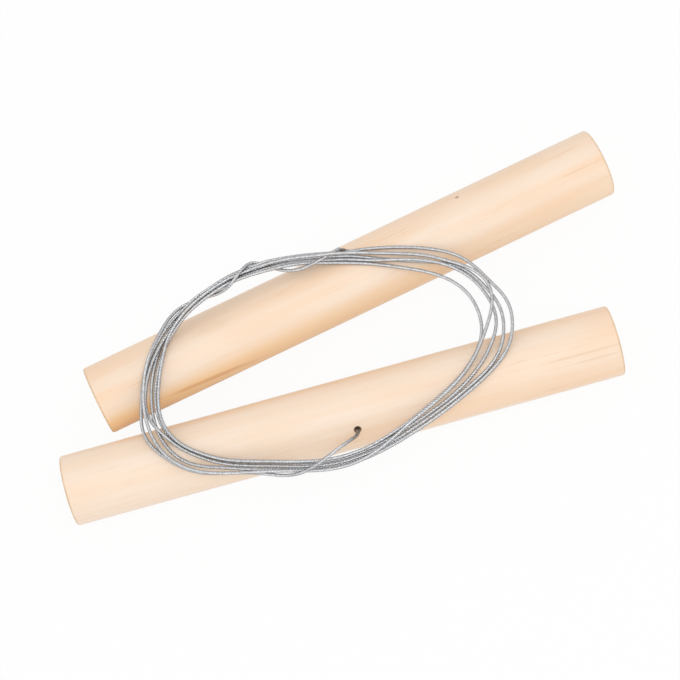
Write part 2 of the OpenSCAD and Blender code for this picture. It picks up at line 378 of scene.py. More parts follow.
@dataclass(frozen=True)
class TurnedWood:
    """Pale close-grained dowel wood, sanded and unvarnished."""

    pale: tuple = rgb(254, 233, 212)
    warm: tuple = rgb(253, 217, 182)
    streak: tuple = rgb(238, 196, 152)
    # dark colour for the narrow ring round the hole's rim
    rim_dark: tuple = rgb(96, 58, 34)
    end_wood: tuple = rgb(236, 204, 166)
    # painted warm shade for the lower front side, where bounced light and the other handle's shade fall
    painted_warm_shade: tuple = rgb(255, 216, 165)
    late_wood: tuple = rgb(206, 158, 110)
    ring_step: float = 0.95 * MM
    grain_stretch: float = 0.035
    blotch_stretch: float = 0.3
    fine_scale: float = 2600.0
    broad_scale: float = 420.0
    blotch_scale: float = 110.0
    pore_scale: float = 5200.0
    rim_dark_reach: tuple = mm(0.78, 0.62)
    end_reach: tuple = mm(0.45, 0.1)
    pith_side: float = 7.0 * MM
    wander: float = 0.35 * MM
    grain_depth: float = 0.05 * MM

    def material(self, name: str, grip: "Grip") -> bpy.types.Material:
        """Make the wood of one handle.

        Args:
            name: The material's name.
            grip: The handle, for its middle, direction, hole and marks.

        Returns:
            The material.
        """
        s = Shader.named(name)
        local = s.mapped(s.place(), grip.middle, (0.0, 0.0, grip.turn), EVEN)
        shift = Vector((0.0, 0.0, grip.grain_shift))
        fibre = s.mapped(local, shift, STRAIGHT, (self.grain_stretch, 1.0, 1.0))
        fine = s.noise(fibre, self.fine_scale, 3.0, 0.62)
        broad = s.noise(fibre, self.broad_scale, 2.0)
        patches = s.mapped(local, shift, STRAIGHT, (self.blotch_stretch, 1.0, 1.0))
        blotch = s.noise(patches, self.blotch_scale, 2.0)
        warmth = broad.ramp(0.35, 0.7) * 0.45 + blotch.ramp(0.35, 0.7) * 0.45
        colour = s.mix(warmth, self.pale, self.warm)
        x, y, z = s.parts(local)
        # Painted warm shade: the lower front side is made warmer and darker, more so towards the left end,
        # where bounced light and the lower handle's shade fall.
        front = z.ramp(5.4 * MM, 2.4 * MM) * y.ramp(0.0, -2.0 * MM)
        leftward = x.ramp(35.0 * MM, -48.0 * MM) * 0.7 + 0.3
        colour = s.mix(front * leftward * grip.warm_shade_share, colour, self.painted_warm_shade)
        lines = fine.ramp(0.56, 0.74) * (0.25 + broad.ramp(0.45, 0.65) * 0.55)
        colour = s.mix(lines * 0.8, colour, self.streak)
        for mark in grip.marks:
            colour = s.mix(mark.mask(s, local), colour, mark.colour)
        # The wood is darker in a narrow ring round the hole's rim
        rim_darkening = s.distance(local, grip.hole_mouth).ramp(*self.rim_dark_reach)
        colour = s.mix(rim_darkening * 0.6, colour, self.rim_dark)
        on_end = abs(x).ramp(*(grip.half_length - reach for reach in self.end_reach))
        pores = s.noise(local, self.pore_scale, 2.0, 0.6)
        across = s.mapped(local, Vector(), STRAIGHT, (0.0, 1.0, 1.0))
        pith = s.distance(across, (0.0, self.pith_side, grip.pith_depth)) + broad * self.wander
        year = (pith * (math.tau / self.ring_step)).sine().ramp(-0.2, 1.0)
        end_colour = s.mix(pores.ramp(0.45, 0.7) * 0.5, self.end_wood, self.streak)
        end_colour = s.mix(year * 0.32, end_colour, self.late_wood)
        colour = s.mix(on_end, colour, end_colour)
        roughness = 0.55 + fine * 0.12 + on_end * 0.2
        normal = s.bump(fine * 0.6 + broad * 0.4, self.grain_depth, 0.35)
        sheen = {"Specular_IOR_Level": 0.5, "Coat_Weight": 0.7, "Coat_Roughness": 0.65}
        return s.finish(Base_Color=colour, Roughness=roughness, Normal=normal, **sheen)


@dataclass(frozen=True)
class StrandedSteel:
    """Bright steel wire, twisted from fine strands, with painted shade in the grooves between them, painted
    highlights on their crests and painted shade at the wire's grazing edges.
    """

    # painted highlight on the strands' crests
    painted_highlight: tuple = rgb(230, 232, 236)
    flank: tuple = rgb(204, 205, 208)
    # painted shade that falls in the grooves between strands
    groove: tuple = rgb(124, 122, 119)
    tint: tuple = rgb(206, 196, 184)
    # painted shade for the wire's edges, which turn away from the camera
    side: tuple = rgb(62, 60, 59)
    fleck_scale: float = 1500.0
    patch_scale: float = 160.0
    scratch_scale: float = 5000.0
    scratch_depth: float = 0.015 * MM

    def material(self, name: str) -> bpy.types.Material:
        """Make the wire's steel, which reads the depth between strands from the mesh.

        Args:
            name: The material's name.

        Returns:
            The material.
        """
        s = Shader.named(name)
        depth = s.attribute("groove")
        at = s.place()
        fleck = s.noise(at, self.fleck_scale, 2.0, 0.6)
        patch = s.noise(at, self.patch_scale, 1.0)
        colour = s.mix(patch.ramp(0.52, 0.8) * 0.5, self.flank, self.tint)
        # Painted highlights: flecks of a light colour on the strands' crests
        shine = depth.ramp(0.3, 0.0) * fleck.ramp(0.35, 0.65)
        colour = s.mix(shine, colour, self.painted_highlight)
        # Painted shade in the grooves between strands
        colour = s.mix(depth.ramp(0.14, 0.75) * 0.85, colour, self.groove)
        # Painted shade: the wire gets darker where it turns away from the camera, standing in for darker
        # surroundings in its reflection
        facing = s.add("LayerWeight", {}, {"Blend": 0.5})["Facing"]
        colour = s.mix(facing.ramp(0.2, 0.8) * 0.9, colour, self.side)
        roughness = 0.2 + fleck * 0.12 + depth * 0.2
        normal = s.bump(s.noise(at, self.scratch_scale, 1.0), self.scratch_depth, 0.3)
        return s.finish(Base_Color=colour, Metallic=1.0, Roughness=roughness, Normal=normal)


@dataclass(frozen=True)
class CrimpAlloy:
    """Soft pale alloy, pressed by a tool."""

    pale: tuple = rgb(206, 207, 211)
    dull: tuple = rgb(150, 150, 154)
    scratch_scale: float = 3200.0
    scratch_depth: float = 0.02 * MM

    def material(self, name: str) -> bpy.types.Material:
        """Make the alloy of the stops.

        Args:
            name: The material's name.

        Returns:
            The material.
        """
        s = Shader.named(name)
        across = s.mapped(s.place(), Vector(), (0.0, 0.0, 0.4), (0.2, 1.0, 1.0))
        scratch = s.noise(across, self.scratch_scale, 2.0, 0.6)
        colour = s.mix(scratch.ramp(0.45, 0.75), self.pale, self.dull)
        roughness = 0.34 + scratch * 0.2
        normal = s.bump(scratch, self.scratch_depth, 0.4)
        return s.finish(Base_Color=colour, Metallic=1.0, Roughness=roughness, Normal=normal)


def new_piece(name: str, mesh: bpy.types.Mesh) -> bpy.types.Object:
    """Put a mesh into the scene as a piece.

    Args:
        name: The piece's name.
        mesh: The piece's mesh.

    Returns:
        The piece.
    """
    piece = bpy.data.objects.new(name, mesh)
    bpy.context.scene.collection.objects.link(piece)
    return piece


def declare(piece: bpy.types.Object, body: Body, slot: str, *nodes: str) -> None:
    """Hang a finished piece on its body, hide the CAD nodes that it replaces, and report it.

    Args:
        piece: The piece.
        body: The body that it rides on.
        slot: Its material slot; not used.
        nodes: The CAD nodes that it replaces.
    """
    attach(piece, body.value)
    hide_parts(*nodes)
    LOG.info("%s %d faces", piece.name, len(piece.data.polygons))


def skin(shape: bmesh.types.BMesh, rings: list[list[bmesh.types.BMVert]]) -> None:
    """Join each ring of corners to the next one by four-sided faces.

    Args:
        shape: The shape that the corners belong to.
        rings: The rings, each with as many corners as the others.
    """
    for one, two in zip(rings, rings[1:]):
        for k in range(len(one)):
            after = (k + 1) % len(one)
            shape.faces.new((one[k], two[k], two[after], one[after]))


def mesh_of(name: str, shape: bmesh.types.BMesh) -> bpy.types.Mesh:
    """Turn a closed shape's faces outwards and make a mesh of it.

    Args:
        name: The mesh's name.
        shape: The shape, which is freed.

    Returns:
        The mesh.
    """
    bmesh.ops.recalc_face_normals(shape, faces=shape.faces)
    mesh = bpy.data.meshes.new(name)
    shape.to_mesh(mesh)
    shape.free()
    return mesh


def smooth(mesh: bpy.types.Mesh, crease: float) -> None:
    """Shade a mesh smooth, except at edges sharper than an angle in degrees."""
    mesh.shade_smooth()
    mesh.set_sharp_from_angle(angle=math.radians(crease))


def plain_mesh(holder: bpy.types.Object) -> bpy.types.Mesh:
    """Make a plain mesh of an object and its modifiers, and take the modifiers off.

    Args:
        holder: The object.

    Returns:
        The mesh that the modifiers made.
    """
    graph = bpy.context.evaluated_depsgraph_get()
    made = bpy.data.meshes.new_from_object(holder.evaluated_get(graph))
    holder.modifiers.clear()
    return made


def settle_normals(mesh: bpy.types.Mesh) -> None:
    """Merge doubles and turn all faces outwards.

    Args:
        mesh: The mesh, which is changed.
    """
    shape = bmesh.new()
    shape.from_mesh(mesh)
    bmesh.ops.remove_doubles(shape, verts=shape.verts, dist=0.0005 * MM)
    bmesh.ops.recalc_face_normals(shape, faces=shape.faces)
    shape.to_mesh(mesh)
    shape.free()


@dataclass
class Studio:
    """The pale floor, the soft lamp and the camera at the photo's angle."""

    aim: tuple = (-0.81 * MM, -0.91 * MM, 0.0)
    azimuth: float = -1.527
    elevation: float = 73.122
    roll: float = -13.961
    distance: float = 401.955 * MM
    lens: float = 117.33
    sensor: float = 36.0
    floor_size: float = 1.6
    floor_paint: float = 0.95
    ambient: float = 0.74
    shadow_share: float = 0.08
    lamp_at: tuple = (0.03, -0.17, 0.635)
    lamp_size: float = 0.28
    lamp_power: float = 1.08

    def build(self) -> None:
        """Make the camera, the floor, the world and the lamp."""
        bpy.context.scene.view_settings.view_transform = "Standard"
        self._camera()
        self._floor()
        self._world()
        self._lamp()

    def _camera(self) -> None:
        """Place the camera where the photo was taken from."""
        around, up = math.radians(self.azimuth), math.radians(self.elevation)
        away = Vector((math.sin(around) * math.cos(up), -math.cos(around) * math.cos(up), math.sin(up)))
        right = Vector((0.0, 0.0, 1.0)).cross(away).normalized()
        turn = math.radians(self.roll)
        side = right * math.cos(turn) + away.cross(right) * math.sin(turn)
        data = bpy.data.cameras.new("photo_camera")
        data.lens = self.lens
        data.sensor_width = self.sensor
        data.clip_start = 0.01
        camera = bpy.data.objects.new("photo_camera", data)
        rows = Matrix((side, away.cross(side), away)).transposed().to_4x4()
        camera.matrix_world = Matrix.Translation(Vector(self.aim) + away * self.distance) @ rows
        bpy.context.scene.collection.objects.link(camera)
        bpy.context.scene.camera = camera

    def _floor(self) -> None:
        """Lay the pale floor, which shows a faint shadow of the object."""
        half = self.floor_size / 2
        mesh = bpy.data.meshes.new("floor")
        corners = [(-half, -half, 0.0), (half, -half, 0.0), (half, half, 0.0), (-half, half, 0.0)]
        mesh.from_pydata(corners, [], [(0, 1, 2, 3)])
        floor = new_piece("floor", mesh)
        s = Shader.named("pale_floor")
        paint = s.add("BsdfDiffuse", {}, {"Color": (*[self.floor_paint] * 3, 1.0)})[0]
        white = s.add("Emission", {}, {"Color": WHITE, "Strength": 1.0})[0]
        shown = s.add("MixShader", {}, {0: s.seen() * (1.0 - self.shadow_share), 1: paint, 2: white})[0]
        s.add("OutputMaterial", {}, {"Surface": shown})
        mesh.materials.append(s.owner)

    def _world(self) -> None:
        """Light the room softly, and show it white behind the object."""
        world = bpy.data.worlds.new("pale_room")
        s = Shader(world)
        level = s.add("MapRange", {}, {"Value": s.seen(), "To Min": self.ambient, "To Max": 1.0})["Result"]
        back = s.add("Background", {}, {"Color": WHITE, "Strength": level})[0]
        s.add("OutputWorld", {}, {"Surface": back})
        bpy.context.scene.world = world

    def _lamp(self) -> None:
        """Hang one square soft lamp behind the camera."""
        data = bpy.data.lights.new("front_lamp", "AREA")
        data.shape = "SQUARE"
        data.size = self.lamp_size
        data.energy = self.lamp_power
        lamp = bpy.data.objects.new("front_lamp", data)
        away = Vector(self.lamp_at)
        lamp.matrix_world = Matrix.Translation(away) @ away.to_track_quat("Z", "Y").to_matrix().to_4x4()
        bpy.context.scene.collection.objects.link(lamp)


def hermite(places: np.ndarray, values: np.ndarray, asked: np.ndarray) -> np.ndarray:
    """Return a smooth curve through values, one row for each place asked.

    Args:
        places: Rising numbers, one for each row of values.
        values: Rows of numbers.
        asked: The places wanted.

    Returns:
        The interpolated rows.
    """
    slope = np.zeros_like(values)
    rise = (values[1:] - values[:-1]) / (places[1:] - places[:-1])[:, None]
    slope[1:-1] = (rise[1:] + rise[:-1]) / 2
    slope[0], slope[-1] = rise[0], rise[-1]
    k = np.clip(np.searchsorted(places, asked) - 1, 0, len(places) - 2)
    span = (places[k + 1] - places[k])[:, None]
    t = ((asked - places[k]) / span[:, 0])[:, None]
    near = (2 * t**3 - 3 * t**2 + 1) * values[k] + (t**3 - 2 * t**2 + t) * span * slope[k]
    return near + (3 * t**2 - 2 * t**3) * values[k + 1] + (t**3 - t**2) * span * slope[k + 1]


def through(points: np.ndarray, per_point: int = 12) -> np.ndarray:
    """Draw a smooth line through given points.

    Args:
        points: Rows of numbers, of which the first three are x, y and z.
        per_point: How many points the line gets for each given one.

    Returns:
        The rows of the line.
    """
    gaps = np.linalg.norm(np.diff(points[:, :3], axis=0), axis=1) ** 0.5
    places = np.concatenate([[0.0], np.cumsum(gaps)])
    return hermite(places, points, np.linspace(0.0, places[-1], len(points) * per_point))


def run_of(line: np.ndarray) -> np.ndarray:
    """Return how far along the line each of its points is."""
    return np.concatenate([[0.0], np.cumsum(np.linalg.norm(np.diff(line[:, :3], axis=0), axis=1))])


@dataclass
class Bore:
    """The slanting hole across a handle that the wire runs through, in millimetres."""

    middle: np.ndarray
    out: np.ndarray
    mouth_at: float = 6.15

    @property
    def mouth(self) -> np.ndarray:
        """The point just inside the handle's surface where the wire comes out."""
        return self.middle + self.mouth_at * self.out


def bore_of(at: np.ndarray, turn: float, along: float, lean: float) -> Bore:
    """Work out a handle's hole.

    Args:
        at: The handle's middle.
        turn: The handle's direction.
        along: The hole's distance from the handle's middle.
        lean: The hole's lean from upright, towards the back.

    Returns:
        The hole.
    """
    rod = np.array([math.cos(turn), math.sin(turn), 0.0])
    side = np.array([-math.sin(turn), math.cos(turn), 0.0])
    upright = np.array([0.0, 0.0, math.cos(lean)])
    return Bore(at + along * rod, side * math.sin(lean) + upright)


LOWER_BORE = bore_of(LOWER_AT, 0.0, 1.9, math.radians(-44))
UPPER_BORE = bore_of(UPPER_AT, SPLAY, 1.2, math.radians(34))


# The bend over the rim of the upper handle's hole
UPPER_TURN = (np.array([2.5, 10.7, 13.9]), np.array([3.3, 11.1, 13.2]), np.array([3.95, 11.35, 12.45]))


@dataclass
class WireRoute:
    """The wire's way from handle to handle, in millimetres.

    Angles and distances outwards place the loops as the camera sees them, and later loops lie on earlier
    ones. The wire is then let down until it lies on the handles and on itself. The first and last points
    stay in the mouths of the holes, and the ones near them may come down past the floor of the coil.
    """

    middle: tuple = (-4.6, -7.6)
    cosines: tuple = (-0.9, 6.4, 0.5, 1.5, 0.4, 0.2)
    sines: tuple = (0.4, 0.0, 0.3, 0.5, -0.2, 0.3)
    mean: float = 23.6
    contact: float = 0.63
    rod_reach: float = HANDLE_R + 0.33
    floor: float = 13.03
    step: float = 0.9
    rounds: int = 450
    look_every: int = 8
    near: float = 2.4
    late: float = 0.7
    late_fall: float = 0.15
    lean_seen: float = 0.303
    seen_height: float = 14.0
    loops_seen: float = 13.9
    back_at: float = 115.0
    back_lift: float = 1.3
    back_share: float = 0.6
    base: float = 13.15
    climb: float = 0.7
    hump_at: float = 120.0
    hump_width: float = 42.0
    top_height: float = 14.4
    top_raise: float = 2.6
    side_height: float = 13.3
    side_raise: float = 1.2
    fall: float = 0.008
    pull: float = 0.03
    tail_pull: float = 1.6
    tail_ease: float = 0.05
    tail_before: float = 4.0
    mouth_reach: float = 9.0
    low_points: tuple = (14, 12)
    held_points: tuple = (4, 3)
    stiffness: float = 0.35

    def ring(self, angle: np.ndarray) -> np.ndarray:
        """Work out points of the coil's middle line.

        Args:
            angle: Angles in degrees.

        Returns:
            Rows of x and y.
        """
        turn = np.radians(angle)
        reach = np.full_like(turn, self.mean)
        for k, (c, s) in enumerate(zip(self.cosines, self.sines), 1):
            reach = reach + c * np.cos(k * turn) + s * np.sin(k * turn)
        return np.array(self.middle) + reach[:, None] * np.stack([np.cos(turn), np.sin(turn)], 1)

    def beside(self, angle: np.ndarray, lane: np.ndarray) -> np.ndarray:
        """Work out points beside the middle line.

        Args:
            angle: Angles in degrees.
            lane: How far outwards from the middle line each point lies.

        Returns:
            Rows of x and y.
        """
        ahead = self.ring(angle + 1) - self.ring(angle - 1)
        ahead /= np.linalg.norm(ahead, axis=1)[:, None]
        return self.ring(angle) + lane[:, None] * np.stack([ahead[:, 1], -ahead[:, 0]], 1)

    def stations(self) -> np.ndarray:
        """Put the measured places of all loops in one order.

        Returns:
            Rows of turned angle, lane and the height at which the lane was seen.
        """
        rows = []
        for k, loop in enumerate(LOOPS):
            turned = -360.0 * k
            last = 360.0
            for angle, lane in loop:
                if angle > last:
                    turned -= 360.0
                raised = self.back_lift * (1 + math.cos(math.radians(angle - self.back_at))) / 2
                seen = self.loops_seen + self.back_share * raised
                if k == len(LOOPS) - 1:
                    seen = self.seen_height
                rows.append((-(angle + turned), lane, seen))
                last = angle
        return np.array(sorted(rows))

    def start(self) -> tuple[np.ndarray, int]:
        """Lay out the wire before it is let down.

        Returns:
            Rows of x, y, z and the height at which x and y were seen, and the number of rows in the tail.
        """
        table = self.stations()
        places = np.arange(table[0, 0], table[-1, 0] + 0.01, 1.5)
        values = hermite(table[:, 0], table[:, 1:], places)
        angles = -places
        flat = self.beside(angles, values[:, 0])
        from_hump = (angles - self.hump_at + 180) % 360 - 180
        hump = self.back_lift * np.exp(-((from_hump / self.hump_width) ** 2))
        height = self.base + self.climb * (places - places[0]) / 360 + hump
        coil = np.column_stack([flat, height, values[:, 1]])
        tail = np.array(TAIL)
        seen = np.full(len(tail), self.seen_height)
        tail_rows = np.column_stack([self.beside(tail[:, 0], tail[:, 1]), tail[:, 2], seen])
        first = [LOWER_BORE.mouth, LOWER_BORE.mouth + 1.2 * LOWER_BORE.out]
        last = [*UPPER_TURN, UPPER_BORE.mouth + 0.3 * UPPER_BORE.out, UPPER_BORE.mouth]
        lead_rows = np.array([[*p, p[2]] for p in first] + [[x, y, z + up, z] for x, y, z, up in LEAD])
        end_rows = np.array([[*p, p[2]] for p in last])
        a = through(np.vstack([lead_rows, coil[:2]]))[:-1]
        b = through(np.vstack([coil[-1:], tail_rows, end_rows]))
        return np.vstack([a, coil[2:-1], b]), len(b)

    def settled(self) -> np.ndarray:
        """Let the wire down until it lies.

        Returns:
            The wire's middle line, in metres.
        """
        rows, tail_rows = self.start()
        run = run_of(rows)
        place = np.linspace(0.0, run[-1], int(round(run[-1] / self.step)) + 1)
        rows4 = np.stack([np.interp(place, run, rows[:, k]) for k in range(4)], 1)
        line = rows4[:, :3].copy()
        goal = line[:, :2].copy()
        goal[:, 1] += (rows4[:, 3] - self.seen_height) * self.lean_seen
        in_tail = place > run[-tail_rows] - self.tail_before
        free = place < place[-1] - self.mouth_reach
        on_top, above = rows4[:, 2] > self.top_height, rows4[:, 2] > self.side_height
        line[in_tail & free & on_top, 2] += self.top_raise
        line[in_tail & free & above & ~on_top, 2] += self.side_raise
        pull = self.pull * np.where(in_tail, self.tail_pull, 1.0)
        ease = np.where(in_tail, self.tail_ease, 0.0)
        lowest = np.full(len(line), self.floor)
        lowest[: self.low_points[0]] = 0.0
        lowest[-self.low_points[1] :] = 0.0
        held = np.zeros(len(line), bool)
        held[: self.held_points[0]] = True
        held[-self.held_points[1] :] = True
        kept = line[held].copy()
        rest = np.linalg.norm(np.diff(line, axis=0), axis=1).mean()
        pairs = None
        for turn in range(self.rounds):
            if turn % self.look_every == 0:
                pairs = self._near_pairs(line)
            line[:, 2] -= self.fall * (1.0 if turn < self.rounds * self.late else self.late_fall)
            line[:, 0] += pull * (goal[:, 0] - line[:, 0])
            seen = line[:, 1] + (line[:, 2] - self.seen_height) * self.lean_seen
            line[:, 1] += pull * (goal[:, 1] - seen)
            self._straighten(line)
            self._keep_length(line, rest)
            line[1:-1] += ease[1:-1, None] * ((line[2:] + line[:-2]) / 2 - line[1:-1])
            for _ in range(5):
                self._part(line, pairs)
            self._clear_handles(line, held)
            line[:, 2] = np.maximum(line[:, 2], lowest)
            line[held] = kept
        return through(line, 3) * MM

    def _near_pairs(self, line: np.ndarray) -> np.ndarray:
        """Find wire segments that are close but not neighbours.

        Args:
            line: The wire's points.

        Returns:
            Rows of two segments' numbers.
        """
        mids = (line[1:] + line[:-1]) / 2
        found = []
        for i in range(0, len(mids), 200):
            apart = np.linalg.norm(mids[i : i + 200, None] - mids[None], axis=2)
            one, two = np.nonzero(apart < self.near)
            one = one + i
            ok = two > one + 3
            found.append(np.stack([one[ok], two[ok]], 1))
        return np.vstack(found)

    def _straighten(self, line: np.ndarray) -> None:
        """Ease bends that are tighter than the steel would take.

        Args:
            line: The wire's points, which are moved.
        """
        for reach in (1, 2):
            k = 2 * reach
            bend = line[: -2 * k] - 4 * line[reach : -3 * reach] + 6 * line[k:-k]
            bend += line[2 * k :] - 4 * line[3 * reach : -reach]
            line[k:-k] -= self.stiffness * bend / 16

    @staticmethod
    def _keep_length(line: np.ndarray, rest: float) -> None:
        """Bring every step between two points back towards its length.

        Args:
            line: The wire's points, which are moved.
            rest: The length of a step.
        """
        for _ in range(2):
            step = line[1:] - line[:-1]
            size = np.linalg.norm(step, axis=1)
            change = ((size - rest) / size * 0.25)[:, None] * step
            line[:-1] += change
            line[1:] -= change

    def _part(self, line: np.ndarray, pairs: np.ndarray) -> None:
        """Push apart stretches of wire that are in one another.

        Args:
            line: The wire's points, which are moved.
            pairs: Rows of two segments' numbers, of those that may touch.
        """
        one, two = pairs[:, 0], pairs[:, 1]
        d1, d2 = line[one + 1] - line[one], line[two + 1] - line[two]
        r = line[one] - line[two]
        a, e, f = (d1 * d1).sum(1), (d2 * d2).sum(1), (d2 * r).sum(1)
        c, b = (d1 * r).sum(1), (d1 * d2).sum(1)
        s = np.clip((b * f - c * e) / np.maximum(a * e - b * b, 1e-9), 0, 1)
        t = np.clip((b * s + f) / e, 0, 1)
        s = np.clip((b * t - c) / a, 0, 1)
        gap = r + d1 * s[:, None] - d2 * t[:, None]
        size = np.maximum(np.linalg.norm(gap, axis=1), 1e-6)
        hit = size < self.contact
        if not hit.any():
            return
        one, two, s, t = one[hit], two[hit], s[hit], t[hit]
        push = (0.4 * (self.contact - size[hit]) / size[hit])[:, None] * gap[hit]
        move = np.zeros_like(line)
        weight = np.zeros(len(line))
        first, second = (1 - s) ** 2 + s**2, (1 - t) ** 2 + t**2
        ends = ((one, 1 - s, first, 1), (one + 1, s, first, 1))
        ends += ((two, 1 - t, second, -1), (two + 1, t, second, -1))
        for index, part, total, sign in ends:
            for k in range(3):
                pushes = sign * push[:, k] * part / total
                move[:, k] += np.bincount(index, weights=pushes, minlength=len(line))
            weight += np.bincount(index, weights=part, minlength=len(line))
        line += move / np.maximum(weight, 1)[:, None]

    def _clear_handles(self, line: np.ndarray, held: np.ndarray) -> None:
        """Push the wire out of the two rods.

        Args:
            line: The wire's points, which are moved.
            held: True for the points that stay where they are.
        """
        for at, turn in ((LOWER_AT, 0.0), (UPPER_AT, SPLAY)):
            rod = np.array([math.cos(turn), math.sin(turn), 0.0])
            arm = line - at
            out = arm - (arm @ rod)[:, None] * rod
            size = np.linalg.norm(out, axis=1)
            inside = (size < self.rod_reach) & ~held
            line[inside] += out[inside] / size[inside, None] * (self.rod_reach - size[inside])[:, None]


@dataclass
class StrandTube:
    """Geometry Nodes that sweep a ring of strands along a line, turning as it goes."""

    strands: int = 6
    per_strand: int = 4
    core_share: float = 0.7
    radius: float = WIRE_R * MM
    lay: float = 3.2 * MM
    step: float = 0.26 * MM

    def mesh(self, name: str, points: np.ndarray, material: bpy.types.Material) -> bpy.types.Mesh:
        """Sweep the strands along points.

        Args:
            name: The mesh's name.
            points: The middle line, in metres.
            material: The steel.

        Returns:
            The closed tube, with the depth between strands in the attribute groove.
        """
        line = bpy.data.meshes.new(name + "_line")
        edges = [(i, i + 1) for i in range(len(points) - 1)]
        line.from_pydata([tuple(p) for p in points], edges, [])
        holder = new_piece(name + "_line", line)
        tree = self._tree(name + "_tree")
        modifier = holder.modifiers.new("strands", "NODES")
        modifier.node_group = tree
        sizes = {"Radius": self.radius, "Lay": self.lay, "Step": self.step, "Steel": material}
        for item in tree.interface.items_tree:
            if item.item_type == "SOCKET" and item.in_out == "INPUT" and item.name in sizes:
                modifier[item.identifier] = sizes[item.name]
        shape = plain_mesh(holder)
        bpy.data.objects.remove(holder)
        shape.name = name
        return shape

    def _tree(self, name: str) -> bpy.types.NodeTree:
        """Build the node tree: line to curve, even steps, a growing tilt, and the strands' ring swept.

        Args:
            name: The tree's name.

        Returns:
            The tree, with the inputs Geometry, Radius, Lay, Step and Steel.
        """
        tree = bpy.data.node_groups.new(name, "GeometryNodeTree")
        ask = tree.interface.new_socket
        ask("Geometry", in_out="INPUT", socket_type="NodeSocketGeometry")
        for label in ("Radius", "Lay", "Step"):
            ask(label, in_out="INPUT", socket_type="NodeSocketFloat")
        ask("Steel", in_out="INPUT", socket_type="NodeSocketMaterial")
        ask("Geometry", in_out="OUTPUT", socket_type="NodeSocketGeometry")

        def node(kind: str, inputs: dict, **settings: object) -> bpy.types.Node:
            """Add one node.

            Args:
                kind: The node's type.
                inputs: Values or other nodes' outputs by socket.
                settings: Properties of the node, set first.

            Returns:
                The node.
            """
            made = tree.nodes.new(kind)
            for key, value in settings.items():
                setattr(made, key, value)
            for key, value in inputs.items():
                if isinstance(value, bpy.types.NodeSocket):
                    tree.links.new(value, made.inputs[key])
                else:
                    made.inputs[key].default_value = value
            return made

        def sums(kind: str, one: object, two: object = 0.0) -> bpy.types.NodeSocket:
            """Add one Math node."""
            return node("ShaderNodeMath", {0: one, 1: two}, operation=kind).outputs[0]

        given = node("NodeGroupInput", {}).outputs
        curve = node("GeometryNodeMeshToCurve", {"Mesh": given["Geometry"]}).outputs[0]
        even = node("GeometryNodeResampleCurve", {"Curve": curve, "Length": given["Step"]}, mode="LENGTH")
        run = node("GeometryNodeSplineParameter", {}).outputs["Length"]
        tilt = sums("MULTIPLY", sums("DIVIDE", run, given["Lay"]), math.tau)
        turned = node("GeometryNodeSetCurveTilt", {"Curve": even.outputs[0], "Tilt": tilt})
        count = self.strands * self.per_strand
        circle = node("GeometryNodeCurvePrimitiveCircle", {"Resolution": count, "Radius": 1.0})
        index = node("GeometryNodeInputIndex", {}).outputs[0]
        place = sums("DIVIDE", sums("MODULO", index, float(self.per_strand)), float(self.per_strand))
        depth = sums("POWER", sums("ABSOLUTE", sums("SUBTRACT", sums("MULTIPLY", place, 2.0), 1.0)), 3.0)
        reach = sums("SUBTRACT", 1.0, sums("MULTIPLY", depth, 1.0 - self.core_share))
        at = node("GeometryNodeInputPosition", {}).outputs[0]
        size = sums("MULTIPLY", reach, given["Radius"])
        grown = node("ShaderNodeVectorMath", {0: at, "Scale": size}, operation="SCALE").outputs[0]
        mark = {"Geometry": circle.outputs[0], "Name": "groove", "Value": depth}
        marked = node("GeometryNodeStoreNamedAttribute", mark, data_type="FLOAT", domain="POINT")
        ring = node("GeometryNodeSetPosition", {"Geometry": marked.outputs[0], "Position": grown})
        sweep = {"Curve": turned.outputs[0], "Profile Curve": ring.outputs[0], "Fill Caps": True}
        tube = node("GeometryNodeCurveToMesh", sweep)
        smooth = node("GeometryNodeSetShadeSmooth", {"Geometry": tube.outputs[0]})
        real = node("GeometryNodeRealizeInstances", {"Geometry": smooth.outputs[0]})
        dress = {"Geometry": real.outputs[0], "Material": given["Steel"]}
        dressed = node("GeometryNodeSetMaterial", dress)
        node("NodeGroupOutput", {0: dressed.outputs[0]})
        return tree


@dataclass
class CuttingWire:
    """The one long stranded wire, from handle to handle."""

    route: WireRoute = field(default_factory=WireRoute)
    tube: StrandTube = field(default_factory=StrandTube)
    finish: StrandedSteel = field(default_factory=StrandedSteel)

    def build(self) -> None:
        line = self.route.settled()
        steel = self.finish.material("strand_steel_wire")
        wire = new_piece("cutting_wire", self.tube.mesh("cutting_wire", line, steel))
        declare(wire, Body.WIRE, "strand_steel", "wire_coil", "lower_lead", "upper_lead")
        tuple(LOWER_BORE.mouth * MM)


